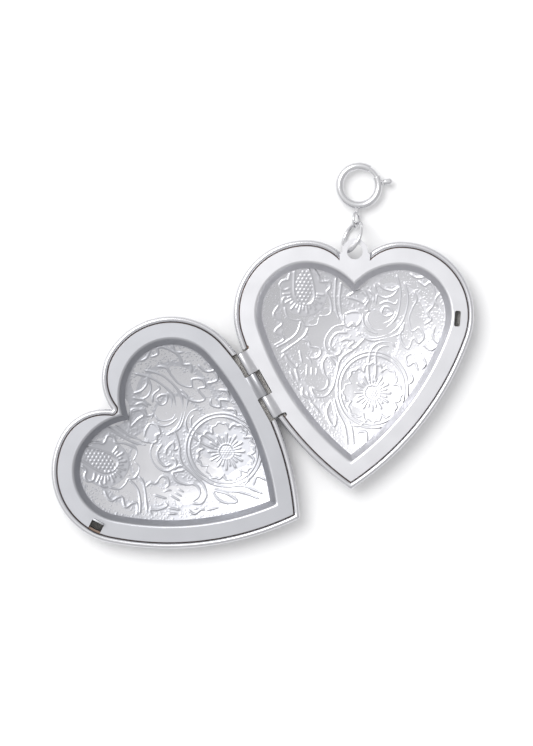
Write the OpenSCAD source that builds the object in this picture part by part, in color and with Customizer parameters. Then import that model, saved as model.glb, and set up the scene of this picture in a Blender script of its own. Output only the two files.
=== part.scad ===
// Heart locket that opens like a book, with a bolt ring clasp on a jump ring.
// It lies open: the rear cover is on the origin, flat on its back, and the front cover beside it.
// Every length is in millimetres. +Z is up, out of the open covers. +Y points to the lug.
// The origin is the middle of the rear cover's flat back.

/* [Heart outline] */
// Sideways distance from the middle line to the top of each lobe
lobe_x = 6; // [5.8:0.1:6.1]
// Height of the lobe arcs' centres above the origin
lobe_y = 4.7; // [4.5:0.1:4.9]
// Radius of the outer lobe arcs
lobe_r = 9.3; // [9.2:0.1:9.5]
// Radius of the small arcs that run down into the notch
notch_r = 6.5; // [6.4:0.1:6.7]
// Radius of the long side arcs
side_r = 38; // [37:0.5:40]
// How far below level the lobe arcs turn into the side arcs, in degrees
join_drop = 18.7; // [18:0.1:20]

/* [Cover shells] */
// Depth of one cover, from its back to its open face
half_h = 3.5; // [3.4:0.1:3.8]
// Thickness of the shell's sheet in the back
shell_t = 0.5; // [0.4:0.05:0.55]
// Thickness of the shell's side wall under the frame
wall_t = 1; // [0.9:0.05:1.1]
// Radius between the side and the back
back_round = 3; // [2.9:0.1:3]
// Radius of the domed back
dome_r = 60; // [55:1:70]
// Radius of the flat that the cover rests on
flat_r = 5; // [4:0.5:6]
// Radius of the bead round the shell's open edge
bead_r = 0.36; // [0.32:0.01:0.36]

/* [Frames] */
// Thickness of the frames' sheet
frame_t = 0.3; // [0.25:0.05:0.3]
// Distance from the heart outline to the frame's outer edge
frame_in = 0.8; // [0.78:0.01:0.85]
// Distance from the heart outline to the inner edge of the flat rim
rim_in = 2.9; // [2.8:0.05:3]
// How far the pressed wall of the picture recess leans inwards
recess_lean = 0.7; // [0.5:0.05:0.7]
// Depth of the pressed wall below the flat rim
recess_h = 1.5; // [1.2:0.1:1.5]
// Height of the notch arcs' centres on the recess
recess_notch_y = 2.95; // [2.8:0.05:3.1]

/* [Lug] */
// Height of the lug's hole above the origin
lug_y = 12.63; // [12.6:0.01:12.7]
// Radius of the lug's hole
lug_hole_r = 1; // [0.95:0.01:1.05]
// Radius of the lug's rounded end
lug_r = 1.65; // [1.6:0.05:1.7]

/* [Hinge] */
// Direction from the origin to the hinge line, in degrees
hinge_dir = 210.5; // [210:0.1:211]
// Distance from the origin to the hinge line
hinge_off = 12.65; // [12.6:0.05:12.8]
// How far the barrel's middle sits along the hinge line from the foot of that distance
hinge_slide = 2.15; // [2:0.05:2.3]
// Outer radius of the hinge knuckles
barrel_r = 0.48; // [0.46:0.01:0.5]
// Length of the whole hinge barrel
barrel_len = 9.2; // [9:0.1:9.4]
// Length of the middle knuckle
middle_len = 3.2; // [3:0.1:3.4]
// Radius of the hinge pin
pin_r = 0.25; // [0.22:0.01:0.25]

/* [Catch] */
// Distance from the heart outline to the middle of the catch slot
catch_in = 2.1; // [2.05:0.05:2.1]
// Direction of the catch from the lobe arc's centre, in degrees
catch_dir = -3; // [-6:1:0]
// Length of the catch slot
slot_len = 2; // [1.9:0.1:2.1]
// Width of the catch slot
slot_w = 0.75; // [0.7:0.05:0.8]
// How far the catch tongue stands above its frame
tongue_h = 1.15; // [1:0.05:1.15]

/* [Jump ring] */
// Radius of the jump ring's wire
ring_wire_r = 0.25; // [0.23:0.01:0.25]
// Radius of the jump ring at the middle of its wire
ring_r = 2.04; // [2.02:0.01:2.05]

/* [Bolt ring clasp] */
// Radius of the clasp's eye at the middle of its wire
eye_r = 0.93; // [0.9:0.01:0.95]
// Radius of the eye's wire
eye_wire_r = 0.2; // [0.18:0.01:0.2]
// Outer radius of the bolt ring
clasp_outer_r = 3; // [2.9:0.1:3.1]
// Radius of the bolt ring's tube
tube_r = 0.5; // [0.48:0.01:0.52]
// Thickness of the tube's wall
tube_wall = 0.13; // [0.12:0.01:0.14]
// Radius of the wire that closes the ring
bolt_r = 0.31; // [0.28:0.01:0.31]
// How far the trigger turns to open the ring, in degrees
trigger_travel = 38; // [35:1:40]
// Radius of the trigger's rounded bar
trigger_r = 0.36; // [0.3:0.02:0.4]
// Distance from the ring's middle to the trigger's tip
trigger_reach = 4.32; // [4:0.1:4.5]

/* [Hidden] */

silver = "#c8cbd0";
bright_silver = "#dfe2e6";
steel = "#8d9299";

// Facet counts: small round stock, sweeps, and the long flat arcs.
wire_fn = 32;
sweep_fn = 160;
long_fn = 720;

// The heart is drawn from arcs that run into each other; one half is drawn and mirrored in X.
top_y = lobe_y + lobe_r;
notch_y = top_y - notch_r;
vee_y = notch_y + sqrt(notch_r * notch_r - lobe_x * lobe_x);
vee_angle = 180 - acos(lobe_x / notch_r);
side_x = lobe_x - (side_r - lobe_r) * cos(join_drop);
side_y = lobe_y + (side_r - lobe_r) * sin(join_drop);
tip_angle = -62;
big = 30;

// The frames lie on the shells' walls with their faces level with the bead.
seat_z = half_h - frame_t;
cavity_round = 0.8 * back_round;
dome_mid = sqrt(dome_r * dome_r - flat_r * flat_r);

// The shells are skins of heart rings: steps along each arc, out along the back, over the bead.
side_n = 14;
lobe_n = 20;
notch_n = 10;
vee_n = 3;
edge_in = 0.01;
bead_in = bead_r + edge_in;
bead_z = half_h - bead_r;
back_steps = [0.3, 0.6, 0.85];
bead_steps = [180, 150, 120, 90, 60, 30, asin((seat_z - bead_z) / bead_r)];

// The recess wall is the frame's sheet pressed down; its foot hangs clear of the shell's back.
wall_lap = 0.4;
wall_foot = rim_in + recess_lean;
foot_z = half_h - recess_h;

// The hinge line is level; the barrel stands a little above the frames, so the closed covers
// keep a thin gap between them.
hinge_z = half_h + 0.05;
hinge_gap = 0.06;
bore_r = pin_r + 0.03;
end_gap = 0.05;
leaf_len = 1.2;
pocket_depth = 1.05;
pocket_z = hinge_z - barrel_r - 0.42;
head_r = pin_r + 0.09;
head_t = 0.1;
relief_r = 0.28;
hinge_foot = [hinge_off * cos(hinge_dir), hinge_off * sin(hinge_dir)];
hinge_mid = [
    hinge_foot.x + hinge_slide * cos(hinge_dir - 90),
    hinge_foot.y + hinge_slide * sin(hinge_dir - 90),
];

// The lug's tab starts under the frame's rim and stands out over the notch.
tab_y = 8.6;
lug_gap = 2;

// The tongue was bent up out of the front frame, which leaves the hole beside it.
tongue_in = catch_in - 0.1;
tongue_t = 0.25;
tongue_w = slot_len - 0.55;
hole_w = slot_len - 0.34;

// How the jump ring hangs in the lug, and the clasp's eye in the jump ring.
ring_at = [-0.35, 14.492, 2.149];
ring_turn = [-65.2, 0, 64.63];
eye_at = [0.153, 16.692, 1.161];
eye_turn = [0, 66.45, 0];
neck_x = 0.26;
neck_r = 0.3;

// The bolt ring: a bent tube with a gap, a sprung wire in it, and a trigger in a slot.
clasp_at = [0.43, 21.09, 1.16];
bend_r = clasp_outer_r - tube_r;
tube_bore_r = tube_r - tube_wall;
gap_start = 28;
gap_end = 59;
bolt_start = -22;
bolt_end = 66;
trigger_at = 9;
slot_margin = 7;
slot_half = 0.2;
neck_half = slot_half - 0.03;
stop_at = -104;
stop_span = 3;
spring_start = stop_at + stop_span + 1;
spring_end = bolt_start - trigger_travel - 1;
spring_turns = 9;
spring_r = 0.23;
spring_wire_r = 0.06;

// Mirrors in the heart's middle line
module both() {
    children();
    mirror([1, 0, 0]) children();
}

// The front cover is the rear one mirrored in the hinge line
module to_front() {
    translate([2 * hinge_foot.x, 2 * hinge_foot.y, 0])
        mirror([cos(hinge_dir), sin(hinge_dir), 0])
            children();
}

// Local X runs along the hinge line and local +Y points away from the rear cover
module at_hinge() {
    translate([hinge_mid.x, hinge_mid.y, 0])
        rotate([0, 0, hinge_dir - 90])
            children();
}

// Local X points out through the heart's edge at the catch
module at_catch() {
    translate([lobe_x, lobe_y, 0])
        rotate([0, 0, catch_dir])
            children();
}

// Moves a piece of the clasp to the middle of the bolt ring
module at_clasp() {
    translate(clasp_at) children();
}

function far(r, a) = [2 * r * cos(a), 2 * r * sin(a)];

// A slice of a disc between two directions
module pie(r, a0, a1) {
    intersection() {
        circle(r, $fn = long_fn);
        polygon([[0, 0], far(r, a0), far(r, (a0 + a1) / 2), far(r, a1)]);
    }
}

// Half of the heart, moved inwards; the part above the middle is handed in
module half_heart(inset) {
    intersection() {
        translate([0, -big]) square([big, 2 * big]);
        union() {
            children();
            translate([lobe_x, lobe_y]) pie(lobe_r - inset, -join_drop, 90);
            translate([side_x, side_y]) pie(side_r - inset, tip_angle, -join_drop);
        }
    }
}

// Half of the frame's outer edge, which follows the shell round the notch's inside corner
module half_rim_edge() {
    difference() {
        half_heart(frame_in) {
            polygon([[0, 0], [lobe_x, 0], [lobe_x, notch_y], [0, vee_y]]);
            translate([lobe_x, notch_y]) pie(notch_r - frame_in, 90, vee_angle);
        }
        translate([0, vee_y]) circle(frame_in, $fn = sweep_fn);
    }
}

// Half of the picture recess, whose notch is shallower
module half_recess() {
    half_heart(rim_in) intersection() {
        square([lobe_x, big]);
        translate([lobe_x, recess_notch_y])
            circle(top_y - recess_notch_y - rim_in, $fn = long_fn);
    }
}

function on_arc(x, y, r, a) = [x + r * cos(a), y + r * sin(a)];

// Points from the heart's tip up its side and over the lobe, moved inwards by d
function outer_points(d) =
    let (tip = -acos(-side_x / (side_r - d)))
    concat(
        [for (i = [0:side_n - 1])
            on_arc(side_x, side_y, side_r - d, tip - (join_drop + tip) * i / side_n)],
        [for (i = [0:lobe_n - 1])
            on_arc(lobe_x, lobe_y, lobe_r - d, (90 + join_drop) * i / lobe_n - join_drop)]
    );

// Points down the notch of the shell and round its inside corner
function notch_points(d) =
    let (turn = vee_angle - 90)
    concat(
        [for (i = [0:notch_n - 1]) on_arc(lobe_x, notch_y, notch_r - d, 90 + turn * i / notch_n)],
        [for (i = [0:vee_n]) on_arc(0, vee_y, d, turn - 90 - turn * i / vee_n)]
    );

// Points down the shallower notch of the recess
function recess_points(d) =
    let (arc = top_y - recess_notch_y - d, turn = 90 - acos(lobe_x / arc))
    [for (i = [0:notch_n]) on_arc(lobe_x, recess_notch_y, arc, 90 + turn * i / notch_n)];

// Half of a heart made whole
function whole(half) = concat(half, [for (i = [len(half) - 2:-1:1]) [-half[i].x, half[i].y]]);

// The triangles between two rings of n points that start at a and at b
function band(a, b, n) = [
    for (j = [0:n - 1])
        let (k = (j + 1) % n)
        each [[a + j, b + j, b + k], [a + j, b + k, a + k]]
];

// Height of the domed back at a point, and of its inner face with t = the sheet's thickness
function dome_z(p, t) = max(t, dome_mid - sqrt(pow(dome_r - t, 2) - p * p));

// A heart ring moved inwards by d, scaled by s, at height z but never below the domed back
function lift(d, s, z, t) = [
    for (p = whole(concat(outer_points(d), notch_points(d))))
        [s * p.x, s * p.y, max(z, dome_z(s * p, t))]
];

// The shell's skin as rings: out along the back, up the side, over the bead, down into the hollow
function skin_rings() =
    let (in = wall_t + cavity_round, up = shell_t + cavity_round, out = edge_in + back_round)
    concat(
        [for (s = back_steps) lift(out, s, 0, 0)],
        [for (a = [0:15:90]) lift(out - back_round * sin(a), 1, back_round * (1 - cos(a)), 0)],
        [for (a = bead_steps) lift(bead_in + bead_r * cos(a), 1, bead_z + bead_r * sin(a), 0)],
        [lift(wall_t, 1, seat_z, 0)],
        [for (a = [90:-15:0])
            lift(in - cavity_round * sin(a), 1, up - cavity_round * cos(a), shell_t)],
        [for (i = [1:len(back_steps)]) lift(in, back_steps[len(back_steps) - i], 0, shell_t)]
    );

// The closed skin of a cover's shell
module shell_block() {
    rings = skin_rings();
    n = len(rings[0]);
    end = 1 + len(rings) * n;
    points = concat([[0, 0, 0]], [for (ring = rings) each ring], [[0, 0, shell_t]]);
    faces = concat(
        [for (j = [0:n - 1]) [0, 1 + j, 1 + (j + 1) % n]],
        [for (i = [0:len(rings) - 2]) each band(1 + i * n, 1 + (i + 1) * n, n)],
        [for (j = [0:n - 1]) [end - n + j, end, end - n + (j + 1) % n]]
    );
    polyhedron(points, faces, convexity = 10);
}

// The pressed wall round the picture recess; its top edge is inside the flat rim
module recess_wall() {
    mid_z = half_h - frame_t / 2;
    profile = [
        [wall_foot, foot_z], [wall_foot - 0.32, foot_z], [rim_in - 0.28, seat_z],
        [rim_in - wall_lap, mid_z], [rim_in - 0.03, mid_z], [rim_in - 0.03, seat_z],
    ];
    rings = [
        for (v = profile)
            [for (p = whole(concat(outer_points(v[0]), recess_points(v[0])))) [p.x, p.y, v[1]]]
    ];
    n = len(rings[0]);
    m = len(rings);
    faces = [for (i = [0:m - 1]) each band(i * n, ((i + 1) % m) * n, n)];
    polyhedron([for (ring = rings) each ring], faces, convexity = 10);
}

// The frame's flat rim, with what is handed in, and the pressed wall under its inner edge
module frame_sheet() {
    difference() {
        union() {
            translate([0, 0, seat_z]) linear_extrude(frame_t) both() half_rim_edge();
            children();
        }
        translate([0, 0, foot_z]) linear_extrude(3) both() half_recess();
    }
    recess_wall();
}

// The pocket for the hinge knuckles and the flat that clears the other cover
module shell_cuts() {
    pocket_half = barrel_len / 2 + 0.25;
    at_hinge() {
        translate([-pocket_half, -pocket_depth, pocket_z]) cube([2 * pocket_half, 3, 3]);
        translate([-big / 2, -hinge_gap, -1]) cube([big, 5, 7]);
    }
}

// A hinge knuckle from x0 to x1 along the hinge line, with the leaf that carries it
module knuckle(x0, x1) {
    translate([x0, 0, hinge_z])
        rotate([0, 90, 0])
            cylinder(r = barrel_r, h = x1 - x0, $fn = wire_fn);
    translate([x0, -leaf_len, seat_z]) cube([x1 - x0, leaf_len, frame_t]);
}

// The hole through the knuckles
module hinge_bore() {
    translate([-big / 2, 0, hinge_z])
        rotate([0, 90, 0])
            cylinder(r = bore_r, h = big, $fn = wire_fn);
}

// Cuts through the sheet between x0 and x1, from the hinge side to a depth
module leaf_notch(x0, x1, depth) {
    translate([x0, -depth, foot_z]) cube([x1 - x0, depth + 1, 4]);
}

// The rear cover's shell, without its bead where the lug stands out
module rear_shell() {
    color(silver) difference() {
        shell_block();
        shell_cuts();
        translate([-lug_gap, vee_y - 1, seat_z]) cube([2 * lug_gap, 6, 1]);
    }
}

// The front cover's shell
module front_shell() {
    color(silver) to_front() difference() {
        shell_block();
        shell_cuts();
    }
}

// The rear frame with the lug, the two outer knuckles and the catch slot
module rear_frame() {
    outer = barrel_len / 2;
    inner = middle_len / 2 + end_gap;
    color(bright_silver) difference() {
        union() {
            frame_sheet()
                translate([-lug_r, tab_y, seat_z]) cube([2 * lug_r, lug_y - tab_y, frame_t]);
            translate([0, lug_y, seat_z]) cylinder(r = lug_r, h = frame_t, $fn = 2 * wire_fn);
            at_hinge() for (side = [[inner, outer], [-outer, -inner]])
                knuckle(side[0], side[1]);
        }
        translate([0, lug_y, foot_z]) cylinder(r = lug_hole_r, h = 3, $fn = 2 * wire_fn);
        at_catch()
            translate([lobe_r - catch_in - slot_w / 2, -slot_len / 2, seat_z - 1])
                cube([slot_w, slot_len, 3]);
        at_hinge() {
            hinge_bore();
            leaf_notch(-inner - 0.07, inner + 0.07, 1.1);
            for (x = [-outer - 0.3, outer + 0.3])
                translate([x, -1.1, foot_z]) cylinder(r = relief_r, h = 3, $fn = wire_fn);
        }
    }
}

// The front frame with the middle knuckle, the catch tongue and the hole it came out of
module front_frame() {
    outer = barrel_len / 2;
    inner = middle_len / 2;
    color(bright_silver) to_front() difference() {
        union() {
            frame_sheet();
            at_hinge() knuckle(-inner, inner);
            at_catch()
                translate([lobe_r - tongue_in - tongue_t, -tongue_w / 2, seat_z])
                    cube([tongue_t, tongue_w, frame_t + tongue_h]);
        }
        at_catch()
            translate([lobe_r - tongue_in, -hole_w / 2, seat_z - 1])
                cube([tongue_in, hole_w, 3]);
        at_hinge() {
            hinge_bore();
            leaf_notch(inner, outer + 0.4, 1);
            leaf_notch(-outer - 0.4, -inner, 1);
        }
    }
}

// The hinge pin, headed over at both ends
module hinge_pin() {
    color(steel) at_hinge()
        translate([-barrel_len / 2, 0, hinge_z])
            rotate([0, 90, 0]) {
                translate([0, 0, -head_t]) cylinder(r = head_r, h = head_t, $fn = wire_fn);
                cylinder(r = pin_r, h = barrel_len, $fn = wire_fn);
                translate([0, 0, barrel_len]) cylinder(r = head_r, h = head_t, $fn = wire_fn);
            }
}

// A ring of round wire lying flat on the origin
module wire_ring(r, wire) {
    rotate_extrude($fn = 2 * wire_fn)
        translate([r, 0]) circle(wire, $fn = wire_fn);
}

// Round stock bent along the bolt ring from one direction to another
module bent(r, a0, a1) {
    rotate([0, 0, a0])
        rotate_extrude(angle = a1 - a0, $fn = sweep_fn)
            translate([bend_r, 0]) circle(r, $fn = wire_fn);
}

// The ring that links the lug and the clasp
module jump_ring() {
    color(silver) translate(ring_at) rotate(ring_turn) wire_ring(ring_r, ring_wire_r);
}

// The clasp's eye, on a neck that is soldered to the tube
module clasp_eye() {
    neck_y = eye_at.y + eye_r - 0.08;
    color(silver) difference() {
        union() {
            translate(eye_at) rotate(eye_turn) wire_ring(eye_r, eye_wire_r);
            translate([neck_x, neck_y, clasp_at.z])
                rotate([-90, 0, 0])
                    cylinder(r = neck_r, h = clasp_at.y - bend_r - neck_y, $fn = wire_fn);
        }
        at_clasp() bent(tube_r, 180, 360);
    }
}

// The bent tube, open between its ends and slotted for the trigger
module clasp_tube() {
    slot_start = trigger_at - trigger_travel - slot_margin;
    slot_end = trigger_at + slot_margin;
    color(silver) at_clasp() difference() {
        bent(tube_r, gap_end, gap_start + 360);
        bent(tube_bore_r, gap_end - 1, gap_start + 361);
        rotate([0, 0, slot_start])
            rotate_extrude(angle = slot_end - slot_start, $fn = sweep_fn)
                translate([bend_r, -slot_half]) square([2 * tube_r, 2 * slot_half]);
    }
}

// The stop that the spring presses against
module clasp_stop() {
    color(steel) at_clasp() bent(tube_bore_r - 0.01, stop_at, stop_at + stop_span);
}

// The wire that closes the gap, pushed up by the spring
module clasp_bolt() {
    color(bright_silver) at_clasp() bent(bolt_r, bolt_start, bolt_end);
}

// The thumb trigger on the bolt
module clasp_trigger() {
    color(silver) at_clasp() difference() {
        rotate([0, 0, trigger_at]) {
            translate([bend_r, -neck_half, -neck_half])
                cube([clasp_outer_r - bend_r + 0.3, 2 * neck_half, 2 * neck_half]);
            translate([clasp_outer_r + 0.06, 0, 0])
                rotate([0, 90, 0])
                    cylinder(r = trigger_r, h = trigger_reach - trigger_r - clasp_outer_r - 0.06,
                             $fn = wire_fn);
            translate([trigger_reach - trigger_r, 0, 0]) sphere(trigger_r, $fn = wire_fn);
        }
        bent(bolt_r, trigger_at - 12, trigger_at + 12);
    }
}

// A point on the coil's wire: turn fraction t along the coil, direction a round the wire
function coil_point(t, a) =
    let (
        spin = 360 * spring_turns * t,
        bend = spring_start + (spring_end - spring_start) * t,
        r = bend_r + (spring_r + spring_wire_r * cos(a)) * cos(spin),
        z = (spring_r + spring_wire_r * cos(a)) * sin(spin),
        lead = spring_wire_r * sin(a) / bend_r * 180 / PI
    )
    [r * cos(bend + lead), r * sin(bend + lead), z];

// The coil spring behind the bolt, drawn pressed together
module clasp_spring() {
    sides = 6;
    rings = 10 * spring_turns;
    points = [for (i = [0:rings], j = [0:sides - 1]) coil_point(i / rings, 360 * j / sides)];
    skin = [
        for (i = [0:rings - 1], j = [0:sides - 1])
            let (k = (j + 1) % sides, a = i * sides, b = a + sides)
            each [[a + j, a + k, b + k], [a + j, b + k, b + j]]
    ];
    first = [for (j = [0:sides - 1]) sides - 1 - j];
    last = [for (j = [0:sides - 1]) rings * sides + j];
    color(steel) at_clasp() polyhedron(points, concat([first], skin, [last]), convexity = 10);
}

rear_shell();
rear_frame();
hinge_pin();
front_shell();
front_frame();
jump_ring();
clasp_eye();
clasp_tube();
clasp_stop();
clasp_spring();
clasp_bolt();
clasp_trigger();
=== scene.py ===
# %% [markdown]
# # A heart locket, open on a pale table
#
# The locket lies open like a book, with a bolt ring clasp on a jump ring at the notch of the
# rear cover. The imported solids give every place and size, and this file gives the looks: the
# rolled beads, the bright frames, the pressed flowers and leaves, the hinge and the clasp.
# The pieces are worked out in millimetres, and one function turns them into metres.

# %% Load the frame
import math

import bmesh
import bpy
import numpy as np
from mathutils import Matrix, Vector, noise
from mathutils.kdtree import KDTree


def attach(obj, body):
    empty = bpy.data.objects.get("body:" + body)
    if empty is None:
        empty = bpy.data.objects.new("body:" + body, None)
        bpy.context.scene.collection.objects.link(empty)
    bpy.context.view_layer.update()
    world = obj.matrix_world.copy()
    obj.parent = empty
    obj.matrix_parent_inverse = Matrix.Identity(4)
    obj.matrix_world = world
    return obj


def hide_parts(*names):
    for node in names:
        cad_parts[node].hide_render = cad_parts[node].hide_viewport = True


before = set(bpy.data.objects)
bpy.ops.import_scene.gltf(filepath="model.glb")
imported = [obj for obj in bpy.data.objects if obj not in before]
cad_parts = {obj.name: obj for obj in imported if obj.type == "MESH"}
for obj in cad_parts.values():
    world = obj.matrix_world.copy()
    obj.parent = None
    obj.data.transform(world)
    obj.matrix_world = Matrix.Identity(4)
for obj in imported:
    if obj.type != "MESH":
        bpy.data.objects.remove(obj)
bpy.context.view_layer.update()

MM = 0.001
MERGE = 1e-4
scene = bpy.context.scene

# %% [markdown]
# ## Materials
#
# The whole locket is plated brass with a bright silver finish. Plating is a pure metal to the
# eye, so metallic is 1 and the finishes differ mostly in how rough they are and in their fine
# relief. The front cover's frame and floor are painted greyer than the rear's, as painted shade,
# and the hollows under the frames and at the hinge are painted dark as shade. Flat stamped sheet
# is satin from handling, the pressed floors are brighter, and drawn wire is the brightest.
# Colours are sRGB hex values that one function turns to linear.

# %% Two small helpers for materials
def linear(hex_colour):
    parts = [int(hex_colour[i:i + 2], 16) / 255 for i in (1, 3, 5)]
    return [c / 12.92 if c <= 0.04045 else ((c + 0.055) / 1.055) ** 2.4 for c in parts] + [1.0]


def add_node(tree, kind, settings=(), values=(), links=()):
    """Adds a node, sets its properties and socket values, and links sockets into it."""
    node = tree.nodes.new(kind)
    for name, value in dict(settings).items():
        setattr(node, name, value)
    for socket, value in dict(values).items():
        node.inputs[socket].default_value = value
    for socket, source in dict(links).items():
        tree.links.new(source, node.inputs[socket])
    return node


# %% [markdown]
# ### Silver plate
#
# One function makes each silver finish. Its roughness drifts over a few millimetres, as plate
# does where fingers and cloths have been, and a faint relief of polishing marks breaks up the
# reflections. The marks on the real sheet are some hundredths of a millimetre apart, too fine
# to show, so they are drawn as coarse as they need to be: 0.3 to 0.5 mm apart on the silver and
# the steel, and 0.15 mm on the dark metal that is painted in as shade.

# %% The silver finishes
CLOUD_MM = 3.0


def silver(name, colour, rough, drift, mark_mm, mark_depth_mm, across=1.0):
    """A metal whose roughness drifts either way; across below 1 draws its marks out along y."""
    made = bpy.data.materials.new(name)
    made.use_nodes = True
    tree = made.node_tree
    shader = tree.nodes["Principled BSDF"]
    shader.inputs["Base Color"].default_value = linear(colour)
    shader.inputs["Metallic"].default_value = 1.0
    place = add_node(tree, "ShaderNodeTexCoord")
    cloud = add_node(tree, "ShaderNodeTexNoise", values={"Scale": 1 / (CLOUD_MM * MM), "Detail": 3.0},
                     links={"Vector": place.outputs["Object"]})
    dull = add_node(tree, "ShaderNodeMapRange",
                    values={"From Min": 0.3, "From Max": 0.7,
                            "To Min": rough - drift, "To Max": rough + drift},
                    links={"Value": cloud.outputs["Fac"]})
    tree.links.new(dull.outputs["Result"], shader.inputs["Roughness"])
    stretch = add_node(tree, "ShaderNodeMapping", values={"Scale": (1.0, across, 1.0)},
                       links={"Vector": place.outputs["Object"]})
    marks = add_node(tree, "ShaderNodeTexNoise", values={"Scale": 1 / (mark_mm * MM), "Detail": 2.0},
                     links={"Vector": stretch.outputs["Vector"]})
    bump = add_node(tree, "ShaderNodeBump", values={"Strength": 1.0, "Distance": mark_depth_mm * MM},
                    links={"Height": marks.outputs["Fac"]})
    tree.links.new(bump.outputs["Normal"], shader.inputs["Normal"])
    return made


FRAME_REAR = silver("silver plate, satin sheet", "#DBDBDE", 0.32, 0.03, 0.3, 0.0016)
# Painted shade: the front cover's frame is the rear's plate painted greyer, and a little rougher.
FRAME_FRONT_PAINTED_SHADE = silver("silver plate, satin sheet, rougher, painted greyer as shade", "#BABBBF", 0.36, 0.03, 0.3, 0.0016)
FLOOR_REAR = silver("silver plate, pressed pattern", "#D8D8DC", 0.36, 0.03, 0.35, 0.003)
# Painted shade: the front floor is likewise the rear's plate painted greyer, and a little rougher.
FLOOR_FRONT_PAINTED_SHADE = silver("silver plate, pressed pattern, duller", "#BCBDC2", 0.42, 0.03, 0.35, 0.003)
SHELL = silver("silver plate, rolled edge", "#DADADD", 0.22, 0.04, 0.4, 0.002)
WIRE = silver("silver plate, drawn wire", "#DEDEE0", 0.14, 0.03, 0.5, 0.0015, 0.3)
GROOVE = silver("tarnish in the seam", "#857368", 0.5, 0.05, 0.4, 0.002)
# Painted shade: a dark metal for the hollows under the frames and the pocket at the hinge.
PAINTED_SHADE_DARK = silver("painted shade, dark, with painted glints", "#4B4744", 0.55, 0.1, 0.15, 0.02)
PIN = silver("steel wire, drawn", "#A9ABAE", 0.3, 0.04, 0.4, 0.002, 0.3)
print("finishes:", [m.name for m in bpy.data.materials])

# %% [markdown]
# The hollows under the frames and the pocket at the hinge are painted dark as shade, and bright
# specks in it are painted glints. The speckle's noise has no coordinates linked, so it runs from
# 0 to 1 over a whole piece, and its specks come out near a hundredth of a millimetre.

# %% The painted glints in the painted shade
SPECKS_ACROSS = 10000 / 3
inside = PAINTED_SHADE_DARK.node_tree
# Painted glints: bright specks scattered through the painted shade.
speckle = add_node(inside, "ShaderNodeTexNoise", values={"Scale": SPECKS_ACROSS, "Detail": 1.0})
painted_glints = add_node(inside, "ShaderNodeValToRGB", links={"Fac": speckle.outputs["Fac"]})
for stop, position, colour in zip(painted_glints.color_ramp.elements, (0.46, 0.56), ("#35302C", "#D5D3D0")):
    stop.position = position
    stop.color = linear(colour)
inside.links.new(painted_glints.outputs["Color"], inside.nodes["Principled BSDF"].inputs["Base Color"])
print("the speckle runs from", *(stop.position for stop in painted_glints.color_ramp.elements))

# %% [markdown]
# ## The heart's outline
#
# Both covers have the same outline, and one half of it is four arcs that run into each other:
# the long side, the lobe, the arc down into the notch, and a small turn round the notch's
# inside corner. A vertex spun about each arc's centre in turn draws that half, and a mirror
# makes it whole. Moved inwards by an even distance, the arcs keep their centres and only their
# radii change, so one function draws every ring of a shell or a frame.

# %% Arc centres and radii, in millimetres
LOBE, LOBE_R = Vector((6, 4.7, 0)), 9.3
NOTCH, NOTCH_R = Vector((6, 7.5, 0)), 6.5
SIDE_R, DROP = 38.0, math.radians(18.7)
SIDE = LOBE - (SIDE_R - LOBE_R) * Vector((math.cos(DROP), -math.sin(DROP), 0))
VEE = Vector((0, 10, 0))
NOTCH_TURN = 67.38
NOTCH_FROM_Y = 5
RECESS = Vector((6, 2.95, 0))
RECESS_R = 11.05
STEPS = {"side": 46, "lobe": 64, "notch": 30, "vee": 6}


def walk(bm, vert, centre, angle, steps):
    """Spins a vertex about an upright line and returns the vertex that it ends on."""
    made = bmesh.ops.spin(bm, geom=[vert], cent=centre, axis=(0, 0, 1), angle=angle, steps=steps)
    return [g for g in made["geom_last"] if isinstance(g, bmesh.types.BMVert)][0]


def heart_loop(bm, inset, z, recess=False):
    """Draws the outline moved inwards by inset at height z, adds it to bm and returns its edges."""
    drawn = bmesh.new()
    tip = -math.acos(-SIDE.x / (SIDE_R - inset))
    start = drawn.verts.new(SIDE + Vector(((SIDE_R - inset) * math.cos(tip),
                                        (SIDE_R - inset) * math.sin(tip), z)))
    end = walk(drawn, start, SIDE, -DROP - tip, STEPS["side"])
    end = walk(drawn, end, LOBE, math.pi / 2 + DROP, STEPS["lobe"])
    if recess:
        turn = math.pi / 2 - math.acos(RECESS.x / (RECESS_R - inset))
        end = walk(drawn, end, RECESS, turn, STEPS["notch"] + STEPS["vee"])
    else:
        end = walk(drawn, end, NOTCH, math.radians(NOTCH_TURN), STEPS["notch"])
        end = walk(drawn, end, VEE, -math.radians(NOTCH_TURN), STEPS["vee"])
    start.co.x = end.co.x = 0
    bmesh.ops.mirror(drawn, geom=drawn.verts[:] + drawn.edges[:], axis="X", merge_dist=MERGE)
    mesh = bpy.data.meshes.new("loop")
    drawn.to_mesh(mesh)
    drawn.free()
    known = len(bm.edges)
    bm.from_mesh(mesh)
    bpy.data.meshes.remove(mesh)
    bm.edges.ensure_lookup_table()
    return bm.edges[known:]


def inset_at(x, y, recess=False):
    """How far a point is inside the cover's outline, or inside the recess's."""
    p = Vector((abs(x), y, 0))
    if p.x < LOBE.x and recess and p.y > RECESS.y:
        return RECESS_R - (p - RECESS).length
    if p.x < LOBE.x and not recess and p.y > NOTCH_FROM_Y:
        in_arc = 90 <= math.degrees(math.atan2(p.y - NOTCH.y, p.x - NOTCH.x)) <= 90 + NOTCH_TURN
        return NOTCH_R - (p - NOTCH).length if in_arc else (p - VEE).length
    if math.atan2(p.y - LOBE.y, p.x - LOBE.x) > -DROP:
        return LOBE_R - (p - LOBE).length
    return SIDE_R - (p - SIDE).length


# %% [markdown]
# ## From bmesh to a finished piece
#
# A finished piece sits at the origin, with its place in its mesh. The front cover is the rear
# one mirrored in the hinge line, so its pieces are made in the rear cover's place and mirrored
# over. A mirror turns a shape inside out, so its faces are turned back.

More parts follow.
